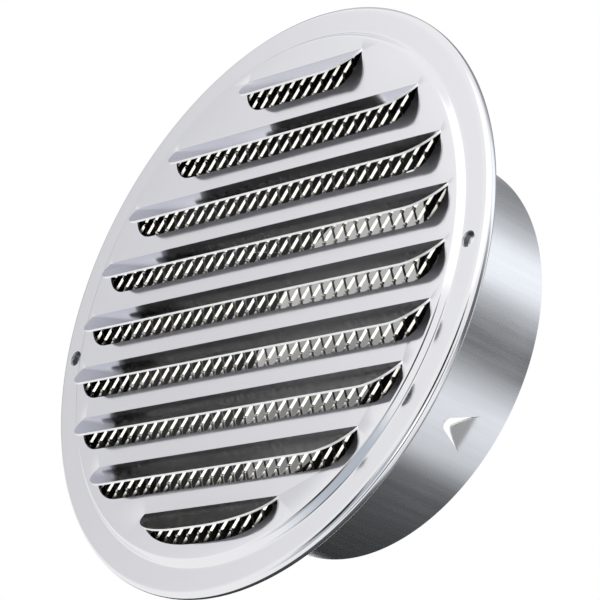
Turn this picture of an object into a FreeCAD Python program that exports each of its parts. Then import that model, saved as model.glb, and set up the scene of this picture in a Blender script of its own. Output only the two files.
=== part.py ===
"""Round louvred vent cover: stamped face plate, insect screen and duct collar.

Millimetres, +Z up. The face looks towards -Y and the collar runs back along +Y.
"""
import math
import os

import FreeCAD
import Part

# Face plate
face_d = 140.0
sheet_t = 0.5
ring_w = 6.5
step_rise = 1.4
step_bend_r = 1.0
rim_bend_r = 1.3
hem_w = 2.7

# Louvres
louvre_h = 8.6
louvre_bar = 4.6
louvre_margin = 1.9
shortest_louvre = 24.0
middle_crease = 3.1
corner_run = 7.3
corner_flats = 5
tongue_tilt = 37.0
shear_gap = 0.12

# Screw holes, set a little below the centre and slightly turned
screw_hole_d = 3.7
screw_drop = 2.0
screw_turn = 4.0

# Insect screen
screen_t = 1.4
screen_cell_w = 11.1
screen_cell_h = 19.4
strand_w = 1.8
screen_play = 0.2

# Collar
collar_od = 97.0
collar_reach = 36.0
collar_bend_r = 1.3

# Spring tabs in the collar wall
tab_count = 4
tab_turn = -32.5
tab_w = 8.0
tab_len = 9.1
tab_tip_r = 1.2
tab_gap = 0.5
tab_lift = 15.0
tab_tail = 6.8

# Derived sizes
face_r = face_d / 2
hem_r = face_r - hem_w
foot_r = face_r - ring_w
step_angle = math.degrees(math.acos(1 - step_rise / (2 * step_bend_r)))
panel_r = foot_r - 2 * step_bend_r * math.sin(math.radians(step_angle))
rim_depth = 3 * sheet_t + screen_t
pitch = louvre_h + louvre_bar
tilt = math.radians(tongue_tilt)
screw_circle_r = (foot_r + hem_r) / 2
collar_r = collar_od / 2

# Planes along Y, counted from the wall that the folded edge rests on
wall_y = 0.0
ring_y = wall_y - rim_depth
panel_y = ring_y - step_rise
screen_y = ring_y + sheet_t
flange_y = screen_y + screen_t
tail_y = wall_y + collar_reach


def bend(centre, radius, start, end):
    """Points along a sheet bend between two angles in degrees, with one flat for each started millimetre of radius."""
    flats = math.ceil(radius)
    angles = [math.radians(start + (end - start) * i / flats) for i in range(flats + 1)]
    return [(centre[0] + radius * math.cos(a), centre[1] + radius * math.sin(a)) for a in angles]


def revolved(points):
    """Solid of revolution about the Y axis from a closed half profile of (radius, y) points."""
    corners = [FreeCAD.Vector(r, y, 0) for r, y in points]
    profile = Part.Face(Part.makePolygon(corners + corners[:1]))
    return profile.revolve(FreeCAD.Vector(0, 0, 0), FreeCAD.Vector(0, 1, 0), 360)


def corner(start, bend_point, end):
    """Points along a quarter of an ellipse from start to end that rounds off the bend point."""
    centre = start + end - bend_point
    angles = [math.radians(90.0 * i / corner_flats) for i in range(corner_flats + 1)]
    return [centre + (start - centre) * math.cos(a) + (end - centre) * math.sin(a) for a in angles]


def louvre_outline(half, drop, run, rise, y, z):
    """Closed outline of one opening: a straight crease at height z and rounded lower corners."""
    right = [FreeCAD.Vector(half, y, z)]
    right += corner(FreeCAD.Vector(half, y, z - drop + rise), FreeCAD.Vector(half, y, z - drop),
                    FreeCAD.Vector(half - run, y, z - drop))
    left = [FreeCAD.Vector(-p.x, p.y, p.z) for p in reversed(right)]
    return Part.makePolygon(right + left + right[:1])


def louvre_rows():
    """Crease height, half length and corner run of each louvre, from the top down, inside the panel's margin."""
    edge_r = panel_r - louvre_margin
    most = int(panel_r / pitch) + 1
    rows = []
    for step in range(most, -most - 1, -1):
        z = middle_crease + step * pitch
        level = z + sheet_t if z > 0 else -z * (1 + 0.8 * louvre_h / panel_r)
        half = math.sqrt(max(edge_r ** 2 - level ** 2, 0))
        if 2 * half < shortest_louvre:
            continue
        low_half = math.sqrt(max(edge_r ** 2 - (z - louvre_h) ** 2, 0))
        rows.append((z, half, min(max(corner_run, 2 * (half - low_half)), 0.92 * half)))
    return rows


def screw_cutters():
    """Cylinders for the two screw holes, long enough for every layer of the rim."""
    a = math.radians(screw_turn)
    x = screw_circle_r * math.cos(a)
    z = screw_circle_r * math.sin(a)
    length = 2 * (rim_depth + step_rise)
    return [Part.makeCylinder(screw_hole_d / 2, length, FreeCAD.Vector(side * x, -length / 2, side * z - screw_drop),
                              FreeCAD.Vector(0, 1, 0)) for side in (1, -1)]


def face_blank():
    """Disc with the raised panel, the ring and the edge turned back and folded in behind the ring."""
    t = sheet_t
    wide = step_bend_r + t / 2
    tight = step_bend_r - t / 2
    upper = (panel_r, panel_y + wide)
    lower = (foot_r, ring_y - tight)
    front = (face_r - rim_bend_r, ring_y + rim_bend_r)
    back = (face_r - rim_bend_r, wall_y - rim_bend_r)
    outside = [(0, panel_y)] + bend(upper, wide, -90, step_angle - 90) + bend(lower, tight, 90 + step_angle, 90)
    outside += bend(front, rim_bend_r, -90, 0) + bend(back, rim_bend_r, 0, 90) + [(hem_r, wall_y)]
    inside = [(hem_r, wall_y - t)] + bend(back, rim_bend_r - t, 90, 0) + bend(front, rim_bend_r - t, 0, -90)
    inside += bend(lower, wide, 90, 90 + step_angle) + bend(upper, tight, step_angle - 90, -90) + [(0, panel_y + t)]
    return revolved(outside + inside)


def tongue(half, run, z):
    """Sheet tongue bent outwards about the crease at height z, with the opening's own rounded outline."""
    t = sheet_t
    c = math.cos(tilt)
    s = math.sin(tilt)
    side = [(t, panel_y), (0, panel_y), (-louvre_h * c, panel_y - louvre_h * s),
            (-louvre_h * c - t * s, panel_y - louvre_h * s + t * c), (-t * s, panel_y + t * c), (0, panel_y + t),
            (t, panel_y + t), (t, panel_y)]
    section = Part.makePolygon([FreeCAD.Vector(-half, y, z + dz) for dz, y in side])
    strip = Part.Face(section).extrude(FreeCAD.Vector(2 * half, 0, 0))
    trim = Part.Face(louvre_outline(half, louvre_h + 2 * t, run, louvre_h - t, -2 * t, 2 * t))
    trim = trim.extrude(FreeCAD.Vector(0, 4 * t, 0))
    trim.rotate(FreeCAD.Vector(0, 0, 0), FreeCAD.Vector(1, 0, 0), -tongue_tilt)
    trim.translate(FreeCAD.Vector(0, panel_y, z))
    return strip.common(trim)


def make_face():
    """Face plate: blank, openings, outward tongues and screw holes."""
    openings = []
    tongues = []
    for z, half, run in louvre_rows():
        outline = louvre_outline(half, louvre_h, run, louvre_h - sheet_t, panel_y - sheet_t, z)
        openings.append(Part.Face(outline).extrude(FreeCAD.Vector(0, 3 * sheet_t, 0)))
        tongues.append(tongue(half - shear_gap, run, z))
    plate = face_blank().cut(openings)
    return plate.fuse(tongues).cut(screw_cutters()).removeSplitter()


def make_screen():
    """Expanded-metal disc with upright diamond gaps, plain round its clamped border."""
    outer_r = face_r - rim_bend_r - screen_play
    shrink = 1 - strand_w * math.hypot(screen_cell_w, screen_cell_h) / (screen_cell_w * screen_cell_h)
    half_w = shrink * screen_cell_w / 2
    half_h = shrink * screen_cell_h / 2
    wires = [Part.Wire(Part.makeCircle(outer_r, FreeCAD.Vector(0, screen_y, 0), FreeCAD.Vector(0, 1, 0)))]
    columns = int(2 * panel_r / screen_cell_w) + 2
    rows = int(2 * panel_r / screen_cell_h) + 2
    for i in range(-columns, columns + 1):
        for j in range(-rows, rows + 1):
            x = i * screen_cell_w / 2
            z = j * screen_cell_h / 2
            if (i + j) % 2 or max(math.hypot(abs(x) + half_w, z), math.hypot(x, abs(z) + half_h)) > panel_r + sheet_t:
                continue
            points = [(x - half_w, z), (x, z - half_h), (x + half_w, z), (x, z + half_h), (x - half_w, z)]
            wires.append(Part.makePolygon([FreeCAD.Vector(px, screen_y, pz) for px, pz in points]))
    sheet = Part.Face(wires, "Part::FaceMakerBullseye").extrude(FreeCAD.Vector(0, screen_t, 0))
    return sheet.cut(screw_cutters())


def tab_outline(grow, root):
    """Closed triangle pointing forwards with a rounded tip, as points (y, z) about the middle of its hinge."""
    half_angle = math.atan(tab_w / 2 / tab_len)
    half_w = tab_w / 2 + grow / math.cos(half_angle)
    tip = -tab_len - grow / math.sin(half_angle)
    radius = tab_tip_r + grow
    reach = radius / math.tan(half_angle)
    flank_y = tip + reach * math.cos(half_angle)
    flank_z = reach * math.sin(half_angle)
    nose_y = tip + radius / math.sin(half_angle) - radius
    flanks = [FreeCAD.Vector(0, flank_y, side * flank_z) for side in (-1, 1)]
    base = [FreeCAD.Vector(0, 0, side * half_w) for side in (-1, 1)]
    rear = [FreeCAD.Vector(0, root, side * half_w) for side in (-1, 1)]
    edges = [Part.makeLine(rear[0], base[0]), Part.makeLine(base[0], flanks[0])]
    edges += [Part.Arc(flanks[0], FreeCAD.Vector(0, nose_y, 0), flanks[1]).toShape()]
    edges += [Part.makeLine(flanks[1], base[1]), Part.makeLine(base[1], rear[1]), Part.makeLine(rear[1], rear[0])]
    return Part.Face(Part.Wire(edges))


def make_collar():
    """Flanged tube with triangular tabs lanced from its wall and sprung outwards."""
    t = sheet_t
    back_y = flange_y + t
    fold = (collar_r + collar_bend_r, back_y + collar_bend_r)
    flange_r = face_r - rim_bend_r
    profile = [(flange_r, flange_y), (flange_r, back_y)] + bend(fold, collar_bend_r, -90, -180)
    profile += [(collar_r, tail_y), (collar_r - t, tail_y)] + bend(fold, collar_bend_r + t, 180, 270)
    tube = revolved(profile)
    origin = FreeCAD.Vector(0, 0, 0)
    axis = FreeCAD.Vector(0, 1, 0)
    windows = []
    tabs = []
    for index in range(tab_count):
        turn = -(tab_turn + index * 360.0 / tab_count)
        window = tab_outline(tab_gap, 0.01).extrude(FreeCAD.Vector(4 * t, 0, 0))
        window.translate(FreeCAD.Vector(collar_r - 2 * t, tail_y - tab_tail, 0))
        window.rotate(origin, axis, turn)
        windows.append(window)
        tab = tab_outline(0, t).extrude(FreeCAD.Vector(t, 0, 0))
        tab.rotate(FreeCAD.Vector(t / 2, 0, 0), FreeCAD.Vector(0, 0, 1), tab_lift)
        tab.translate(FreeCAD.Vector(collar_r - t, tail_y - tab_tail, 0))
        tab.rotate(origin, axis, turn)
        tabs.append(tab)
    return tube.cut(windows + screw_cutters()).fuse(tabs).removeSplitter()


os.makedirs("parts", exist_ok=True)
for name, shape in (("face_plate", make_face()), ("mesh_screen", make_screen()), ("collar", make_collar())):
    shape.exportStep("parts/" + name + ".step")
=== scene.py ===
import math

import bmesh
import bpy
import numpy as np
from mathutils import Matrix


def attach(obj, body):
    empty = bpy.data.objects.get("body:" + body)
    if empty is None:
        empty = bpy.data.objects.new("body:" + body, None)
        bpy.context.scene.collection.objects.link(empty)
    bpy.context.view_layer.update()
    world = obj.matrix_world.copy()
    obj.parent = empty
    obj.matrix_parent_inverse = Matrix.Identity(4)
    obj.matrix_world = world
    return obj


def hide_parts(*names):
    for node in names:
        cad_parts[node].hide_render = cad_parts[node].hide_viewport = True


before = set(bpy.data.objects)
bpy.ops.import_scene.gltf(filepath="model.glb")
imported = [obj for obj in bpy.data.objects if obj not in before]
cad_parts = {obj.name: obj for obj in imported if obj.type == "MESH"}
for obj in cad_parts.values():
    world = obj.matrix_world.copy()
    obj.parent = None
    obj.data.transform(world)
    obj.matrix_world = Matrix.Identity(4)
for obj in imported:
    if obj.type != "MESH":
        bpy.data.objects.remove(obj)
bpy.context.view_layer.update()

# Face plate.
# One disc of polished stainless sheet, pressed into a raised panel with a flat ring round it.
# Nine tongues are sheared on their lower side and bent outwards; the edge is rolled back and folded in.
sheet_t = 0.5
face_r = 70.0
ring_w = 6.5
hem_w = 2.7
rim_bend_r = 1.3
panel_r = 61.592
wall_y = 0.0
ring_y = -2.9
panel_y = -4.3
step_slope = 50.0
step_bend_r = 0.788
foot_r = face_r - ring_w
hem_r = face_r - hem_w
millimetre = 0.001
weld_distance = 2e-6
sliver_length = 1e-6
sheet_sharp = math.radians(38.0)
panel_arc_step = 0.03
step_points = 9
ring_rows = 9
roll_points = 10
hem_rows = 4

louvre_count = 9
louvre_h = 8.6
louvre_pitch = 13.2
louvre_margin = 1.9
middle_crease = 3.1
low_lip_share = 0.8
least_corner_run = 7.3
most_corner_share = 0.92
corner_power = 2.15
straight_columns = 8
corner_columns = 17
tongue_tilt = math.radians(37.0)
tongue_bend_r = 0.25
tongue_steps = np.array([0, 0.02, 0.04, 0.06, 0.09, 0.2, 0.35, 0.5, 0.65, 0.8, 0.92, 1.0])

# The louvres end on a circle in the panel, measured at the crease above the middle and near the lip below it.
crease_z = middle_crease + louvre_pitch * (louvre_count // 2 - np.arange(louvre_count))
lip_level = np.where(crease_z > 0, crease_z + sheet_t, -crease_z * (1 + low_lip_share * louvre_h / panel_r))
louvre_edge_r = panel_r - louvre_margin
louvre_half = np.sqrt(louvre_edge_r ** 2 - lip_level ** 2)
low_half = np.sqrt(louvre_edge_r ** 2 - (crease_z - louvre_h) ** 2)
corner_run = np.clip(2 * (louvre_half - low_half), least_corner_run, most_corner_share * louvre_half)

screw_r = 1.85
screw_drop = 2.0
screw_turn = math.radians(4.0)
screw_reach = (foot_r + hem_r) / 2
screw_offset = screw_reach * np.array([math.cos(screw_turn), math.sin(screw_turn)])
screw_holes = np.stack([screw_offset, -screw_offset]) - (0.0, screw_drop)
hole_margin = 0.9
face_hole_rows = 5


def points_at(x, y, z):
    """Points from arrays of x, y and z that are spread to one common shape."""
    return np.stack(np.broadcast_arrays(x, y, z), -1)


def grid_patch(grid, keep_cell=...):
    """Points of a grid, row by row, and the quads between its rows and columns, apart from cells not kept."""
    index = np.arange(grid[..., 0].size).reshape(grid.shape[:2])
    quads = np.stack([index[:-1, :-1], index[:-1, 1:], index[1:, 1:], index[1:, :-1]], -1)
    return grid.reshape(-1, 3), quads[keep_cell].reshape(-1, 4)


def joined(patches):
    """Points and faces of several patches, in one list each, with the later point numbers moved up."""
    firsts = np.cumsum([0] + [len(points) for points, faces in patches])
    all_points = np.concatenate([points for points, faces in patches])
    return all_points, [face for first, patch in zip(firsts, patches) for face in (patch[1] + first).tolist()]


def louvre_columns(row):
    """Columns across one louvre, left to right: x at the crease and depth of cut there. The lower corners are
    quarters of a super-ellipse."""
    half, run = louvre_half[row], corner_run[row]
    straight = np.linspace(0, 1, straight_columns) * (half - run)
    turn = np.linspace(0, np.pi / 2, corner_columns)[1:]
    bulge = 2 / corner_power
    x = np.concatenate([straight, half - run + run * np.sin(turn) ** bulge])
    cut = np.concatenate([np.full(straight_columns, louvre_h), louvre_h * np.abs(np.cos(turn)) ** bulge])
    cut[-1] = 0
    return np.concatenate([-x[:0:-1], x]), np.concatenate([cut[:0:-1], cut])


def tongue_grid(row):
    """Tongue of a row: each column leaves the panel at the crease along an arc and then runs straight at the
    tilt, for as far as the cut is deep there."""
    x, cut = louvre_columns(row)
    way = tongue_steps[:, None] * cut
    outer_bend_r = tongue_bend_r + sheet_t
    turn = np.minimum(way / outer_bend_r, tongue_tilt)
    rest = np.maximum(way - outer_bend_r * tongue_tilt, 0)
    out = tongue_bend_r * (1 - np.cos(turn)) + rest * math.sin(tongue_tilt)
    down = tongue_bend_r * np.sin(turn) + rest * math.cos(tongue_tilt)
    return points_at(x, panel_y - out, crease_z[row] - down)


def arc_points(centre, radius, start, end, count):
    """Points (radius, y) along an arc between two angles in degrees."""
    a = np.radians(np.linspace(start, end, count))
    return np.stack([centre[0] + radius * np.cos(a), centre[1] + radius * np.sin(a)], -1)


def ring_profile():
    """Outer side of the sheet as (radius, y): soft step down from the panel, flat ring, rolled edge and
    folded hem. With it come the numbers of the flat ring's first and last rows."""
    wide, tight = step_bend_r + sheet_t / 2, step_bend_r - sheet_t / 2
    edge_r = face_r - rim_bend_r
    step = np.concatenate([arc_points((panel_r, panel_y + wide), wide, -90, step_slope - 90, step_points),
                           arc_points((foot_r, ring_y - tight), tight, 90 + step_slope, 90, step_points)])
    flat = np.linspace((foot_r, ring_y), (edge_r, ring_y), ring_rows)[1:]
    roll = np.concatenate([arc_points((edge_r, ring_y + rim_bend_r), rim_bend_r, -90, 0, roll_points)[1:],
                           arc_points((edge_r, wall_y - rim_bend_r), rim_bend_r, 0, 90, roll_points)])
    hem = np.linspace((edge_r, wall_y), (hem_r, wall_y), hem_rows)[1:]
    return np.concatenate([step, flat, roll, hem]), len(step) - 1, len(step) + len(flat) - 1


def revolved(profile, around):
    """Grid of a (radius, y) profile turned about the Y axis to each of the given angles."""
    radius, y = profile[:, None, 0], profile[:, None, 1]
    return points_at(radius * np.cos(around), y, radius * np.sin(around))


def cut_window(grid, keep_cell, rows, columns):
    """Closed loop of grid points round the cells between two rows and two columns, which are marked cut."""
    (r0, r1), (c0, c1) = rows, columns
    keep_cell[r0:r1, c0:c1] = False
    return np.concatenate([grid[r0, c0:c1], grid[r0:r1, c1], grid[r1, c1:c0:-1], grid[r1:r0:-1, c0],
                           grid[r0:r0 + 1, c0]])


def hole_ring(loop, hole, rows):
    """Flat ring of quads between a closed loop of points and the screw hole inside it: each point moves
    straight from its place on the loop to the hole's circle."""
    flat = loop[:, [0, 2]]
    away = flat - hole
    circle = hole + screw_r * away / np.linalg.norm(away, axis=1)[:, None]
    share = np.linspace(0, 1, rows)[:, None, None]
    place = (1 - share) * flat + share * circle
    return points_at(place[..., 0], loop[0, 1], place[..., 1])


def face_sheet():
    """Outer skin of the whole plate as points and faces. Flat bars between the louvres are single faces,
    bounded by a cut edge above, a crease below and the panel's edge circle. Tongues and the revolved step,
    ring and rim are grids. Round each screw hole a ring of quads replaces part of the grid."""
    stops = np.concatenate([[np.pi / 2], np.arcsin(crease_z / panel_r), [-np.pi / 2]])
    arcs = [np.linspace(top, low, int((top - low) / panel_arc_step) + 2)
            for top, low in zip(stops[:-1], stops[1:])]
    patches = []
    upper = np.zeros((0, 3))
    for row, arc in enumerate(arcs):
        right = points_at(panel_r * np.cos(arc), panel_y, panel_r * np.sin(arc))
        left = right[::-1] * (-1, 1, 1)
        lower = np.zeros((0, 3))
        if row == 0:
            left = left[:-1]
        if row < louvre_count:
            x, cut = louvre_columns(row)
            lower = points_at(x, panel_y, crease_z[row])
            patches.append(grid_patch(tongue_grid(row)))
        else:
            left = left[1:]
        bar = np.concatenate([upper, right, lower[::-1], left])
        patches.append((bar, np.arange(len(bar))[None]))
        if row < louvre_count:
            upper = points_at(x, panel_y, crease_z[row] - cut)

    half_turn = np.concatenate([arc[:-1] for arc in arcs] + [[-np.pi / 2]])
    around = np.concatenate([half_turn, np.pi - half_turn[-2::-1]])
    profile, ring_first, ring_last = ring_profile()
    grid = revolved(profile, around)
    keep_cell = np.ones((len(profile) - 1, len(around) - 1), bool)
    foot = grid[ring_first][:, [0, 2]]
    hole_rings = []
    for hole in screw_holes:
        away = (foot[:-1] + foot[1:]) / 2 - hole * foot_r / np.linalg.norm(hole)
        near = np.nonzero(np.linalg.norm(away, axis=1) < screw_r + hole_margin)[0]
        loop = cut_window(grid, keep_cell, (ring_first, ring_last), (near[0], near[-1] + 1))
        hole_rings.append(grid_patch(hole_ring(loop, hole, face_hole_rows)))
    return joined(patches + [grid_patch(grid, keep_cell)] + hole_rings)


def welded_mesh(name, points, faces):
    """Mesh from points in millimetres: doubles merged, slivers dissolved, faces of many corners cut into
    triangles and normals made to agree, outwards on a closed shape."""
    mesh = bpy.data.meshes.new(name)
    mesh.from_pydata(points * millimetre, [], faces)
    work = bmesh.new()
    work.from_mesh(mesh)
    bmesh.ops.remove_doubles(work, verts=work.verts, dist=weld_distance)
    bmesh.ops.dissolve_degenerate(work, edges=work.edges, dist=sliver_length)
    bmesh.ops.triangulate(work, faces=[face for face in work.faces if len(face.verts) > 4])
    bmesh.ops.recalc_face_normals(work, faces=work.faces)
    work.to_mesh(mesh)
    work.free()
    return mesh


def shade_smooth(mesh, sharp_angle):
    """Smooth shading, with edges over the given angle kept sharp."""
    mesh.polygons.foreach_set("use_smooth", np.ones(len(mesh.polygons), bool))
    mesh.set_sharp_from_angle(angle=sharp_angle)


def thick_sheet(name, points, faces, outward, thickness, materials):
    """Object from a single skin: faces turned so that their normals agree with their place times outward, and
    thickened inwards with outer side, cut edges and inner side in three materials."""
    skin = welded_mesh(name, points, faces)
    normals, places = np.empty((2, len(skin.polygons), 3), np.float32)
    skin.polygons.foreach_get("normal", normals.ravel())
    skin.polygons.foreach_get("center", places.ravel())
    if (normals * places * outward).sum() < 0:
        skin.flip_normals()
    for material in materials:
        skin.materials.append(material)
    piece = bpy.data.objects.new(name, skin)
    bpy.context.scene.collection.objects.link(piece)
    shell = piece.modifiers.new("thickness", "SOLIDIFY")
    shell.thickness = thickness * millimetre
    shell.offset = -1.0
    shell.use_quality_normals = True
    shell.material_offset_rim = 1
    shell.material_offset = 2
    solid = bpy.data.meshes.new_from_object(piece.evaluated_get(bpy.context.evaluated_depsgraph_get()))
    piece.modifiers.clear()
    piece.data = solid
    solid.name = name
    shade_smooth(solid, sheet_sharp)
    return piece


def new_group(name, inputs, outputs):
    """Empty shader group with named inputs and outputs. An input has a kind of socket and a value or None."""
    group = bpy.data.node_groups.new(name, "ShaderNodeTree")
    for label, kind, value in inputs:
        socket = group.interface.new_socket(label, in_out="INPUT", socket_type=kind)
        if value is not None:
            socket.default_value = value
    for label, kind in outputs:
        group.interface.new_socket(label, in_out="OUTPUT", socket_type=kind)
    return group, group.nodes.new("NodeGroupInput"), group.nodes.new("NodeGroupOutput")


def drawn_grain_group():
    """Fine parallel marks of rolled and polished sheet: noise drawn out along one axis, and softer smears."""
    group, source, result = new_group(
        "drawn_grain",
        [("Vector", "NodeSocketVector", None), ("Draw", "NodeSocketVector", (1.0, 1.0, 1.0)),
         ("Fineness", "NodeSocketFloat", 900.0)],
        [("Marks", "NodeSocketFloat"), ("Smears", "NodeSocketFloat")])
    stretch = group.nodes.new("ShaderNodeVectorMath")
    stretch.operation = "MULTIPLY"
    marks = group.nodes.new("ShaderNodeTexNoise")
    marks.inputs["Detail"].default_value = 3.0
    marks.inputs["Roughness"].default_value = 0.6
    smears = group.nodes.new("ShaderNodeTexNoise")
    smears.inputs["Scale"].default_value = 45.0
    smears.inputs["Detail"].default_value = 3.0
    link = group.links.new
    link(source.outputs["Vector"], stretch.inputs[0])
    link(source.outputs["Draw"], stretch.inputs[1])
    link(stretch.outputs[0], marks.inputs["Vector"])
    link(source.outputs["Fineness"], marks.inputs["Scale"])
    link(source.outputs["Vector"], smears.inputs["Vector"])
    link(marks.outputs["Fac"], result.inputs["Marks"])
    link(smears.outputs["Fac"], result.inputs["Smears"])
    return group


drawn_grain = drawn_grain_group()


def sheet_metal(name, colour, rough, draw, fineness, bump):
    """Metal finish: the drawn grain moves its roughness between two values and gives it a faint relief."""
    material = bpy.data.materials.new(name)
    material.use_nodes = True
    nodes, link = material.node_tree.nodes, material.node_tree.links.new
    metal = nodes["Principled BSDF"]
    metal.inputs["Metallic"].default_value = 1.0
    metal.inputs["Base Color"].default_value = (*colour, 1.0)
    place = nodes.new("ShaderNodeTexCoord")
    grain = nodes.new("ShaderNodeGroup")
    grain.node_tree = drawn_grain
    grain.inputs["Draw"].default_value = draw
    grain.inputs["Fineness"].default_value = fineness
    smear_part = nodes.new("ShaderNodeMath")
    smear_part.operation = "MULTIPLY"
    smear_part.inputs[1].default_value = 0.4
    wear = nodes.new("ShaderNodeMath")
    wear.operation = "MULTIPLY_ADD"
    wear.inputs[1].default_value = 0.6
    spread = nodes.new("ShaderNodeMapRange")
    spread.inputs["From Min"].default_value = 0.3
    spread.inputs["From Max"].default_value = 0.7
    spread.inputs["To Min"].default_value = rough[0]
    spread.inputs["To Max"].default_value = rough[1]
    relief = nodes.new("ShaderNodeBump")
    relief.inputs["Strength"].default_value = bump
    relief.inputs["Distance"].default_value = 0.00004
    link(place.outputs["Object"], grain.inputs["Vector"])
    link(grain.outputs["Smears"], smear_part.inputs[0])
    link(grain.outputs["Marks"], wear.inputs[0])
    link(smear_part.outputs[0], wear.inputs[2])
    link(wear.outputs[0], spread.inputs["Value"])
    link(spread.outputs[0], metal.inputs["Roughness"])
    link(grain.outputs["Marks"], relief.inputs["Height"])
    link(relief.outputs[0], metal.inputs["Normal"])
    return material


polished_steel = sheet_metal("polished_steel", colour=(0.82, 0.82, 0.845), rough=(0.07, 0.16),
                             draw=(0.05, 1.0, 1.0), fineness=900.0, bump=0.05)
sheared_edge = sheet_metal("sheared_edge", colour=(0.92, 0.92, 0.92), rough=(0.35, 0.5),
                           draw=(1.0, 1.0, 1.0), fineness=1500.0, bump=0.2)
# Painted shade: the inner side of the face plate and the cut edges of the screen's border take this
# near-black colour, which stands for the shade behind the sheet; only its roughness is the plain unpolished
# finish.
plain_inside_painted_shade = sheet_metal("plain_inside_painted_shade", colour=(0.22, 0.22, 0.23), rough=(0.35, 0.45),
                           draw=(0.05, 1.0, 1.0), fineness=900.0, bump=0.1)
face = thick_sheet("face_plate_sheet", *face_sheet(), outward=(0, 1, 0), thickness=sheet_t,
                   materials=(polished_steel, sheared_edge, plain_inside_painted_shade))
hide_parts("face_plate")
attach(face, "root")

# Insect screen.
# Bright expanded metal: a sheet slit in rows and drawn out, so that flat strips run down it in zigzags, touch
# their neighbours at every turn and twist from limb to limb. It lies behind the face on the collar's flange.
cell_w = 3.7
cell_h = 6.5
strip_w = 0.6
strip_t = 0.52
limb_tilt = math.radians(51.0)
limb_knees = np.array([0.0, 0.12, 0.88])
strip_sharp = math.radians(8.0)
swing_peak = 1.06
swing_limit = 0.94
screen_r = 63.3
screen_y = -2.0
border_radii = np.array([62.2, 62.8, 63.4, 64.0, 64.6, 65.3, 66.0, 66.7, 67.3, 67.8, 68.5])
border_columns = 180
border_y = -2.35
border_t = 1.3
hole_half_columns = 2
hole_rows = 4


def screen_strips():
    """Zigzag strips as rectangles carried down a path: x swings by a quarter cell either way as a triangle
    wave with cut-off turns, in opposite sense on neighbouring strips. The rectangle is turned one way on
    limbs that rise to the right and the other way on the rest. Each strip ends inside the screen's circle."""
    corners = np.array([(-1, -1), (1, -1), (1, 1), (-1, 1), (-1, -1)]) * (strip_w / 2, strip_t / 2)
    last_strip = int(2 * screen_r / cell_w)
    patches = []
    for strip in range(-last_strip, last_strip + 1):
        middle = strip * cell_w / 2
        reach = math.sqrt(max(screen_r ** 2 - (abs(middle) + cell_w / 4) ** 2, 0))
        turns = int(reach / (cell_h / 2))
        if turns < 1:
            continue
        side = 1 if strip % 2 else -1
        z = ((np.arange(-turns, turns)[:, None] + limb_knees) * cell_h / 2).ravel()
        phase = np.mod(z / cell_h, 1.0)
        swing = np.clip(swing_peak - 2 * swing_peak * np.abs(phase * 2 - 1), -swing_limit, swing_limit)
        rises = side * np.where(phase < 0.5, 1.0, -1.0)
        rises[::len(limb_knees)] = 0.0
        tilt = (-limb_tilt * rises)[:, None]
        across = corners[:, 0] * np.cos(tilt) + corners[:, 1] * np.sin(tilt)
        through = corners[:, 1] * np.cos(tilt) - corners[:, 0] * np.sin(tilt)
        x = middle + side * cell_w / 4 * swing[:, None] + across
        points, quads = grid_patch(points_at(x, screen_y + through, z[:, None]))
        caps = np.arange(4) + [[0], [len(points) - len(corners)]]
        patches.append((points, np.concatenate([quads, caps])))
    return joined(patches)


def nearest_column(place, around):
    """Number of the evenly spaced column that is nearest to a place (x, z) as seen from the axis."""
    angle = math.atan2(place[1], place[0])
    return round((angle - around[0]) % (2 * np.pi) / (around[1] - around[0]))


def border_sheet():
    """Plain border of the screen as a flat ring of quads, with smaller rings round its screw holes."""
    around = np.linspace(-np.pi / 2, 3 * np.pi / 2, border_columns + 1)
    grid = revolved(np.stack([border_radii, np.full(len(border_radii), border_y)], -1), around)
    keep_cell = np.ones((len(border_radii) - 1, border_columns), bool)
    hole_rings = []
    for hole in screw_holes:
        middle = nearest_column(hole, around)
        columns = (middle - hole_half_columns, middle + hole_half_columns)
        loop = cut_window(grid, keep_cell, (1, len(border_radii) - 2), columns)
        hole_rings.append(grid_patch(hole_ring(loop, hole, hole_rows)))
    return joined([grid_patch(grid, keep_cell)] + hole_rings)


screen_metal = sheet_metal("screen_metal", colour=(0.93, 0.91, 0.86), rough=(0.2, 0.3),
                           draw=(1.0, 1.0, 1.0), fineness=1200.0, bump=0.2)
strip_mesh = welded_mesh("screen_strips", *screen_strips())
strip_mesh.materials.append(screen_metal)
shade_smooth(strip_mesh, strip_sharp)
screen = bpy.data.objects.new("screen_strips", strip_mesh)
bpy.context.scene.collection.objects.link(screen)
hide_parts("mesh_screen")
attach(screen, "root")
# The border's cut edges are painted shade, in the near-black inner material.
border = thick_sheet("screen_border", *border_sheet(), outward=(0, 1, 0), thickness=border_t,
                     materials=(screen_metal, plain_inside_painted_shade, screen_metal))
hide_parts("mesh_screen")
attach(border, "root")

# Collar.
# A satin stainless tube that goes into the duct, with a flange turned out at its front end under the folded
# rim. Four triangular tabs are lanced from its wall and sprung out to grip the duct.
collar_r = 48.5
collar_bend_r = 1.3
collar_columns = 240
flange_y = -0.5
flange_radii = np.array([50.4, 52.5, 56, 60, 62.6, 63.4, 64, 64.6, 65.3, 66, 66.7, 67.3, 67.9, 68.7])
flange_hole_rows = 9
tail_y = 36.0
tail_rows = 4
window_rows = 10
window_columns = 12
window_ring_shares = np.linspace(0, 1, 5) ** 0.8
bend_points = 9
# Bands of rows down the tube, from the tail forwards: first y, last y and number of rows.
tube_bands = [(tail_y, 31.8, tail_rows), (30.7, 18.0, window_rows), (16.5, 0.9, 8)]

tab_w = 8.0
tab_len = 9.1
tab_tip_r = 1.2
tab_gap = 0.5
tab_lift = math.radians(15.0)
tab_lift_r = 8.0
tab_side_trim = 0.75
tab_tip_trim = 0.09
hinge_y = 29.2
tab_angles = np.radians(-32.5 + 90.0 * np.arange(4))


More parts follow.
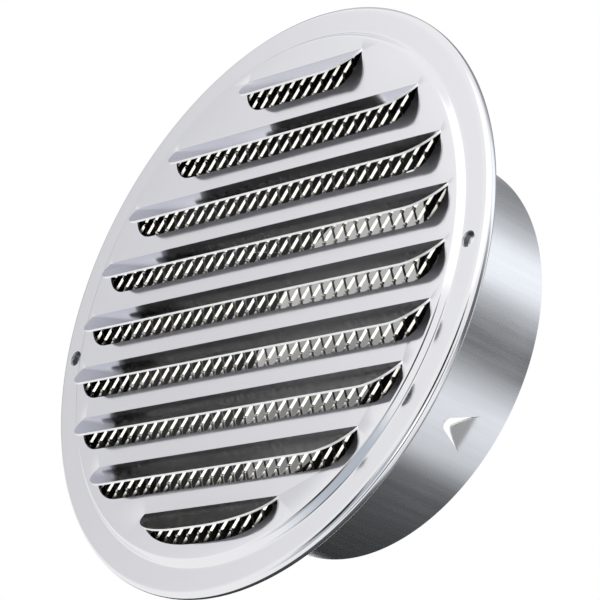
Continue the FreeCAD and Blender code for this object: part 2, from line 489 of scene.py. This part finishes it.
def window_edges():
    """Outline of a lanced window as (arc length, distance forward of the hinge) in four runs: the base along
    the hinge from left to right, the right flank forwards, the round tip, and the left flank back."""
    half_angle = math.atan(tab_w / 2 / tab_len)
    half = tab_w / 2 + tab_gap / math.cos(half_angle)
    tip = tab_len + tab_gap / math.sin(half_angle)
    radius = tab_tip_r + tab_gap
    reach = radius / math.tan(half_angle)
    flank_end = (reach * math.sin(half_angle), tip - reach * math.cos(half_angle))
    centre = tip - radius / math.sin(half_angle)
    sweep = np.linspace(half_angle, math.pi - half_angle, window_columns + 1)
    base = np.linspace((-half, 0.0), (half, 0.0), window_columns + 1)
    right = np.linspace((half, 0.0), flank_end, window_rows)
    nose = np.stack([radius * np.cos(sweep), centre + radius * np.sin(sweep)], -1)
    return base, right, nose, right[::-1] * (-1, 1)


def tab_grid(right, nose, angle):
    """Spring tab: lines across it from the hinge to the tip, narrower than the window by a gap that grows
    forwards, turned outwards about the hinge on an arc and then straight."""
    edge = np.concatenate([right, nose[1:len(nose) // 2 + 1]])
    share = edge[:, 1] / edge[-1, 1]
    half = np.maximum(edge[:, 0] - tab_side_trim * share, 0.0)
    way = edge[:, 1] * (1 - tab_tip_trim * share)
    turn = np.minimum(way / tab_lift_r, tab_lift)
    rest = way - tab_lift_r * turn
    out = tab_lift_r * (1 - np.cos(turn)) + rest * np.sin(turn)
    ahead = tab_lift_r * np.sin(turn) + rest * np.cos(turn)
    around = angle + half[:, None] * np.linspace(-1, 1, len(nose)) / collar_r
    radius = collar_r + out[:, None]
    return points_at(radius * np.cos(around), hinge_y - ahead[:, None], radius * np.sin(around))


def collar_sheet():
    """Outer skin of the collar: tube, bend and flange revolved about Y, from the tail forwards. Rings of
    quads fill in round the screw holes and the windows. A tab stands at each window's hinge."""
    tube_y = np.concatenate([np.linspace(*band) for band in tube_bands])
    bend_centre = (collar_r + collar_bend_r, flange_y + collar_bend_r)
    profile = np.concatenate([np.stack([np.full(len(tube_y), collar_r), tube_y], -1),
                              arc_points(bend_centre, collar_bend_r, -180, -90, bend_points),
                              np.stack([flange_radii, np.full(len(flange_radii), flange_y)], -1)])
    around = np.linspace(-np.pi / 2, 3 * np.pi / 2, collar_columns + 1)
    grid = revolved(profile, around)
    unrolled = np.stack(np.broadcast_arrays(around, profile[:, 1:]), -1)
    keep_cell = np.ones((len(profile) - 1, collar_columns), bool)
    fillers = []
    for hole in screw_holes:
        middle = nearest_column(hole, around)
        columns = (middle - hole_half_columns, middle + hole_half_columns)
        edge_row = len(profile) - 2
        loop = cut_window(grid, keep_cell, (edge_row - flange_hole_rows, edge_row), columns)
        fillers.append(hole_ring(loop, hole, hole_rows))
    base, right, nose, left = window_edges()
    window = np.concatenate([base[:-1], right[:-1], nose[:-1], left])
    share = window_ring_shares[:, None, None]
    for angle in tab_angles:
        middle = nearest_column((math.cos(angle), math.sin(angle)), around)
        columns = (middle - window_columns // 2, middle + window_columns // 2)
        outer = cut_window(unrolled, keep_cell, (tail_rows, tail_rows + window_rows - 1), columns)
        inner = np.stack([angle + window[:, 0] / collar_r, hinge_y - window[:, 1]], -1)
        turn, y = np.moveaxis((1 - share) * outer + share * inner, -1, 0)
        fillers.append(points_at(collar_r * np.cos(turn), y, collar_r * np.sin(turn)))
        fillers.append(tab_grid(right, nose, angle))
    return joined([grid_patch(grid, keep_cell)] + [grid_patch(filler) for filler in fillers])


# Painted shade: the collar's inner wall and the front of its flange are near black, standing for the shade
# inside the duct and behind the screen; the dullness itself is in the roughness.
dull_painted_shade_inside = sheet_metal("dull_painted_shade_inside", colour=(0.05, 0.05, 0.05), rough=(0.45, 0.6),
                          draw=(1.0, 1.0, 1.0), fineness=600.0, bump=0.1)
satin_steel = sheet_metal("satin_steel", colour=(0.78, 0.79, 0.81), rough=(0.2, 0.32),
                          draw=(1.0, 0.04, 1.0), fineness=700.0, bump=0.12)
collar = thick_sheet("collar_tube", *collar_sheet(), outward=(1, 0, 1), thickness=sheet_t,
                     materials=(satin_steel, sheared_edge, dull_painted_shade_inside))
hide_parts("collar")
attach(collar, "root")

# Studio.
# A bright room whose lamps and dark places the polished metal mirrors, with a pale floor and a softbox above.
# The camera itself sees plain white, apart from painted shade: grey where it looks through the screen at the
# right.
back_tint = np.array([1.0, 1.03, 1.07])
back_start = 0.03
back_bands = [(-136, 0.05), (-86, 0.1), (-72, 0.16), (-58, 0.8), (-28, 1.0), (-14, 0.6), (-4, 0.16),
              (12, 0.16), (30, 0.5), (42, 1.2), (62, 1.15), (78, 0.6), (96, 0.33), (120, 0.25)]


def soft_oval_group():
    """One inside an oval of directions and zero outside: the direction less the oval's centre is measured
    along three axes, in which the oval's edge is at distance one."""
    group, source, result = new_group(
        "soft_oval",
        [("Direction", "NodeSocketVector", None), ("Centre", "NodeSocketVector", None),
         ("Across", "NodeSocketVector", None), ("Along", "NodeSocketVector", None),
         ("Edge", "NodeSocketFloat", 0.3)],
        [("Mask", "NodeSocketFloat")])
    link = group.links.new
    offset = group.nodes.new("ShaderNodeVectorMath")
    offset.operation = "SUBTRACT"
    link(source.outputs["Direction"], offset.inputs[0])
    link(source.outputs["Centre"], offset.inputs[1])
    gather = group.nodes.new("ShaderNodeCombineXYZ")
    for socket, axis in zip(("X", "Y", "Z"), ("Across", "Along", "Centre")):
        measure = group.nodes.new("ShaderNodeVectorMath")
        measure.operation = "DOT_PRODUCT"
        link(offset.outputs[0], measure.inputs[0])
        link(source.outputs[axis], measure.inputs[1])
        link(measure.outputs["Value"], gather.inputs[socket])
    size = group.nodes.new("ShaderNodeVectorMath")
    size.operation = "LENGTH"
    link(gather.outputs[0], size.inputs[0])
    fade = group.nodes.new("ShaderNodeMapRange")
    fade.interpolation_type = "SMOOTHSTEP"
    fade.inputs["To Min"].default_value = 1.0
    fade.inputs["To Max"].default_value = 0.0
    link(size.outputs["Value"], fade.inputs["Value"])
    for operation, socket in (("SUBTRACT", "From Min"), ("ADD", "From Max")):
        limit = group.nodes.new("ShaderNodeMath")
        limit.operation = operation
        limit.inputs[0].default_value = 1.0
        link(source.outputs["Edge"], limit.inputs[1])
        link(limit.outputs[0], fade.inputs[socket])
    link(fade.outputs[0], result.inputs["Mask"])
    return group


def room_axes(right, up, front):
    """Direction in the part's axes from its shares to the right, up and to the front of the part."""
    return np.array([right, -front, up])


def level_oval(centre, wide, high):
    """Centre and half axes, level and upright, of an oval of directions, from its half angles in degrees."""
    centre = room_axes(*centre)
    across = np.cross(centre, (0.0, 0.0, 1.0))
    across /= np.linalg.norm(across)
    along = np.cross(across, centre)
    return centre, across * math.sin(math.radians(wide)), along * math.sin(math.radians(high))


def slant_oval(centre, across, along):
    """Centre and half axes of an oval of directions, each given by its shares right, up and to the front."""
    return room_axes(*centre), room_axes(*across), room_axes(*along)


world = bpy.data.worlds.new("studio")
bpy.context.scene.world = world
world.use_nodes = True
nodes, link = world.node_tree.nodes, world.node_tree.links.new
direction = nodes.new("ShaderNodeTexCoord").outputs["Generated"]
soft_oval = soft_oval_group()


def white_light():
    """Plain white from every direction."""
    source = nodes.new("ShaderNodeRGB")
    source.outputs[0].default_value = (1.0, 1.0, 1.0, 1.0)
    return source.outputs[0]


def light_mix(mask, light):
    """Mix of two lights: the given one where the mask is zero, and what its B input gets where it is one."""
    mix = nodes.new("ShaderNodeMix")
    mix.data_type = "RGBA"
    link(mask, mix.inputs["Factor"])
    link(light, mix.inputs["A"])
    return mix


def lay_oval(light, oval, edge, colour):
    """Light with an oval of another colour laid over it. The oval is measured along the duals of its half
    axes and centre, which are the columns of the inverse of the matrix that has them as rows."""
    centre, across, along = oval
    centre = centre / np.linalg.norm(centre)
    duals = np.linalg.inv(np.stack([across, along, centre]))
    patch = nodes.new("ShaderNodeGroup")
    patch.node_tree = soft_oval
    patch.inputs["Centre"].default_value = centre
    patch.inputs["Across"].default_value = duals[:, 0]
    patch.inputs["Along"].default_value = duals[:, 1]
    patch.inputs["Edge"].default_value = edge
    link(direction, patch.inputs["Direction"])
    mix = light_mix(patch.outputs["Mask"], light)
    mix.inputs["B"].default_value = (*colour, 1.0)
    return mix.outputs["Result"]


lamp = level_oval((0.47, 0.66, 0.58), 46.0, 33.0)
floor_shade = level_oval((0.02, -0.55, 0.835), 28.0, 25.0)
skirting = slant_oval((0.70, -0.69, 0.2), (-0.45, -0.46, -0.02), (0.03, -0.03, 0.15))
doorway = slant_oval((0.37, -0.09, 0.925), (0.235, -0.08, -0.105), (0.09, 0.245, 0.0))
doorpost = slant_oval((-0.389, -0.213, 0.896), (0.2115, -0.2975, 0.0225), (0.09, 0.043, 0.0455))
low_lamp = level_oval((0.63, -0.58, 0.515), 11.0, 11.0)
side_wall = level_oval((-0.87, 0.30, 0.39), 14.0, 14.0)
wall_edge = slant_oval((-0.93, 0.34, 0.1), (-0.02, 0.0, -0.15), (-0.035, -0.145, 0.1))
corner = level_oval((-0.75, 0.64, -0.17), 22.0, 22.0)
corner_gap = slant_oval((-0.748, 0.646, -0.152), (0.0375, 0.0415, -0.01), (0.021, 0.006, -0.077))
front_light = white_light()
for oval, edge, colour in [(lamp, 0.12, (1.3, 1.3, 1.3)), (floor_shade, 0.25, (0.5, 0.55, 0.61)),
                           (skirting, 0.2, (0.03, 0.03, 0.035)), (doorway, 0.2, (0.01, 0.01, 0.012)),
                           (doorpost, 0.3, (0.02, 0.02, 0.022)), (low_lamp, 0.3, (1.8, 1.75, 1.65)),
                           (side_wall, 0.36, (0.74, 0.74, 0.76)), (wall_edge, 0.25, (0.3, 0.3, 0.31)),
                           (corner, 0.25, (0.6, 0.61, 0.69)), (corner_gap, 0.3, (0.012, 0.012, 0.014))]:
    front_light = lay_oval(front_light, oval, edge, colour)

# Behind the part the light changes with the angle about the collar's axis. The ramp ends in its own white.
parts = nodes.new("ShaderNodeSeparateXYZ")
link(direction, parts.inputs[0])
angle = nodes.new("ShaderNodeMath")
angle.operation = "ARCTAN2"
link(parts.outputs["Z"], angle.inputs[0])
link(parts.outputs["X"], angle.inputs[1])
turn_share = nodes.new("ShaderNodeMapRange")
turn_share.inputs["From Min"].default_value = -math.pi
turn_share.inputs["From Max"].default_value = math.pi
link(angle.outputs[0], turn_share.inputs["Value"])
bands = nodes.new("ShaderNodeValToRGB")
bands.color_ramp.interpolation = "EASE"
bands.color_ramp.elements[0].color = (*(back_start * back_tint), 1.0)
for degrees, strength in back_bands:
    bands.color_ramp.elements.new((degrees + 180) / 360).color = (*(strength * back_tint), 1.0)
link(turn_share.outputs[0], bands.inputs["Fac"])
tab_shade = level_oval((0.229, -0.289, -0.929), 16.0, 16.0)
back_light = lay_oval(bands.outputs["Color"], tab_shade, 0.3, (0.4, 0.4, 0.4))
back_share = nodes.new("ShaderNodeMapRange")
back_share.interpolation_type = "SMOOTHSTEP"
back_share.inputs["From Min"].default_value = 0.28
back_share.inputs["From Max"].default_value = 0.42
link(parts.outputs["Y"], back_share.inputs["Value"])
room = light_mix(back_share.outputs[0], front_light)
link(back_light, room.inputs["B"])

# Painted shade: two grey ovals in the backdrop, seen only by the camera through the screen and out of the
# collar, stand for the dim view into the vent.
see_through_shade = slant_oval((-0.7347, 0.3313, -0.5924), (0.01372, -0.01355, -0.02565), (0.03377, 0.0550, -0.01099))
see_through_deep_shade = slant_oval((-0.7449, 0.3047, -0.5932), (0.0084, -0.0083, -0.0157), (0.01858, 0.03026, -0.00604))
seen_light = lay_oval(white_light(), see_through_shade, 0.06, (0.45, 0.45, 0.45))
seen_light = lay_oval(seen_light, see_through_deep_shade, 0.5, (0.22, 0.22, 0.22))
paths = nodes.new("ShaderNodeLightPath")
seen = light_mix(paths.outputs["Is Camera Ray"], room.outputs["Result"])
link(seen_light, seen.inputs["B"])
link(seen.outputs["Result"], nodes["Background"].inputs["Color"])

floor_z = -0.6
floor_half = 12.0
floor_corners = floor_half * np.array([(-1, -1, 0), (1, -1, 0), (1, 1, 0), (-1, 1, 0)]) + (0, 0, floor_z)
floor_mesh = bpy.data.meshes.new("floor")
floor_mesh.from_pydata(floor_corners, [], [(0, 1, 2, 3)])
floor_paint = bpy.data.materials.new("floor_paint")
floor_paint.use_nodes = True
floor_paint.node_tree.nodes["Principled BSDF"].inputs["Base Color"].default_value = (0.85, 0.85, 0.85, 1.0)
floor_paint.node_tree.nodes["Principled BSDF"].inputs["Roughness"].default_value = 0.9
floor_mesh.materials.append(floor_paint)
floor = bpy.data.objects.new("floor", floor_mesh)
bpy.context.scene.collection.objects.link(floor)
floor.visible_glossy = False

softbox = bpy.data.lights.new("softbox", "AREA")
softbox.size = 1.2
softbox.energy = 6.0
softbox_place = bpy.data.objects.new("softbox", softbox)
softbox_place.location = (0.4, -0.7, 1.4)
softbox_place.rotation_euler = (math.radians(27.0), 0.0, math.radians(30.0))
softbox_place.visible_glossy = False
bpy.context.scene.collection.objects.link(softbox_place)

lens = bpy.data.cameras.new("camera")
lens.sensor_width = 36.0
lens.lens = 182.58
lens.clip_end = 20.0
camera = bpy.data.objects.new("camera", lens)
camera.location = (0.504039, -0.383416, -0.228135)
camera.rotation_euler = np.radians((110.30847, -11.08169, 48.07604))
bpy.context.scene.collection.objects.link(camera)
bpy.context.scene.camera = camera
bpy.context.scene.view_settings.view_transform = "Standard"
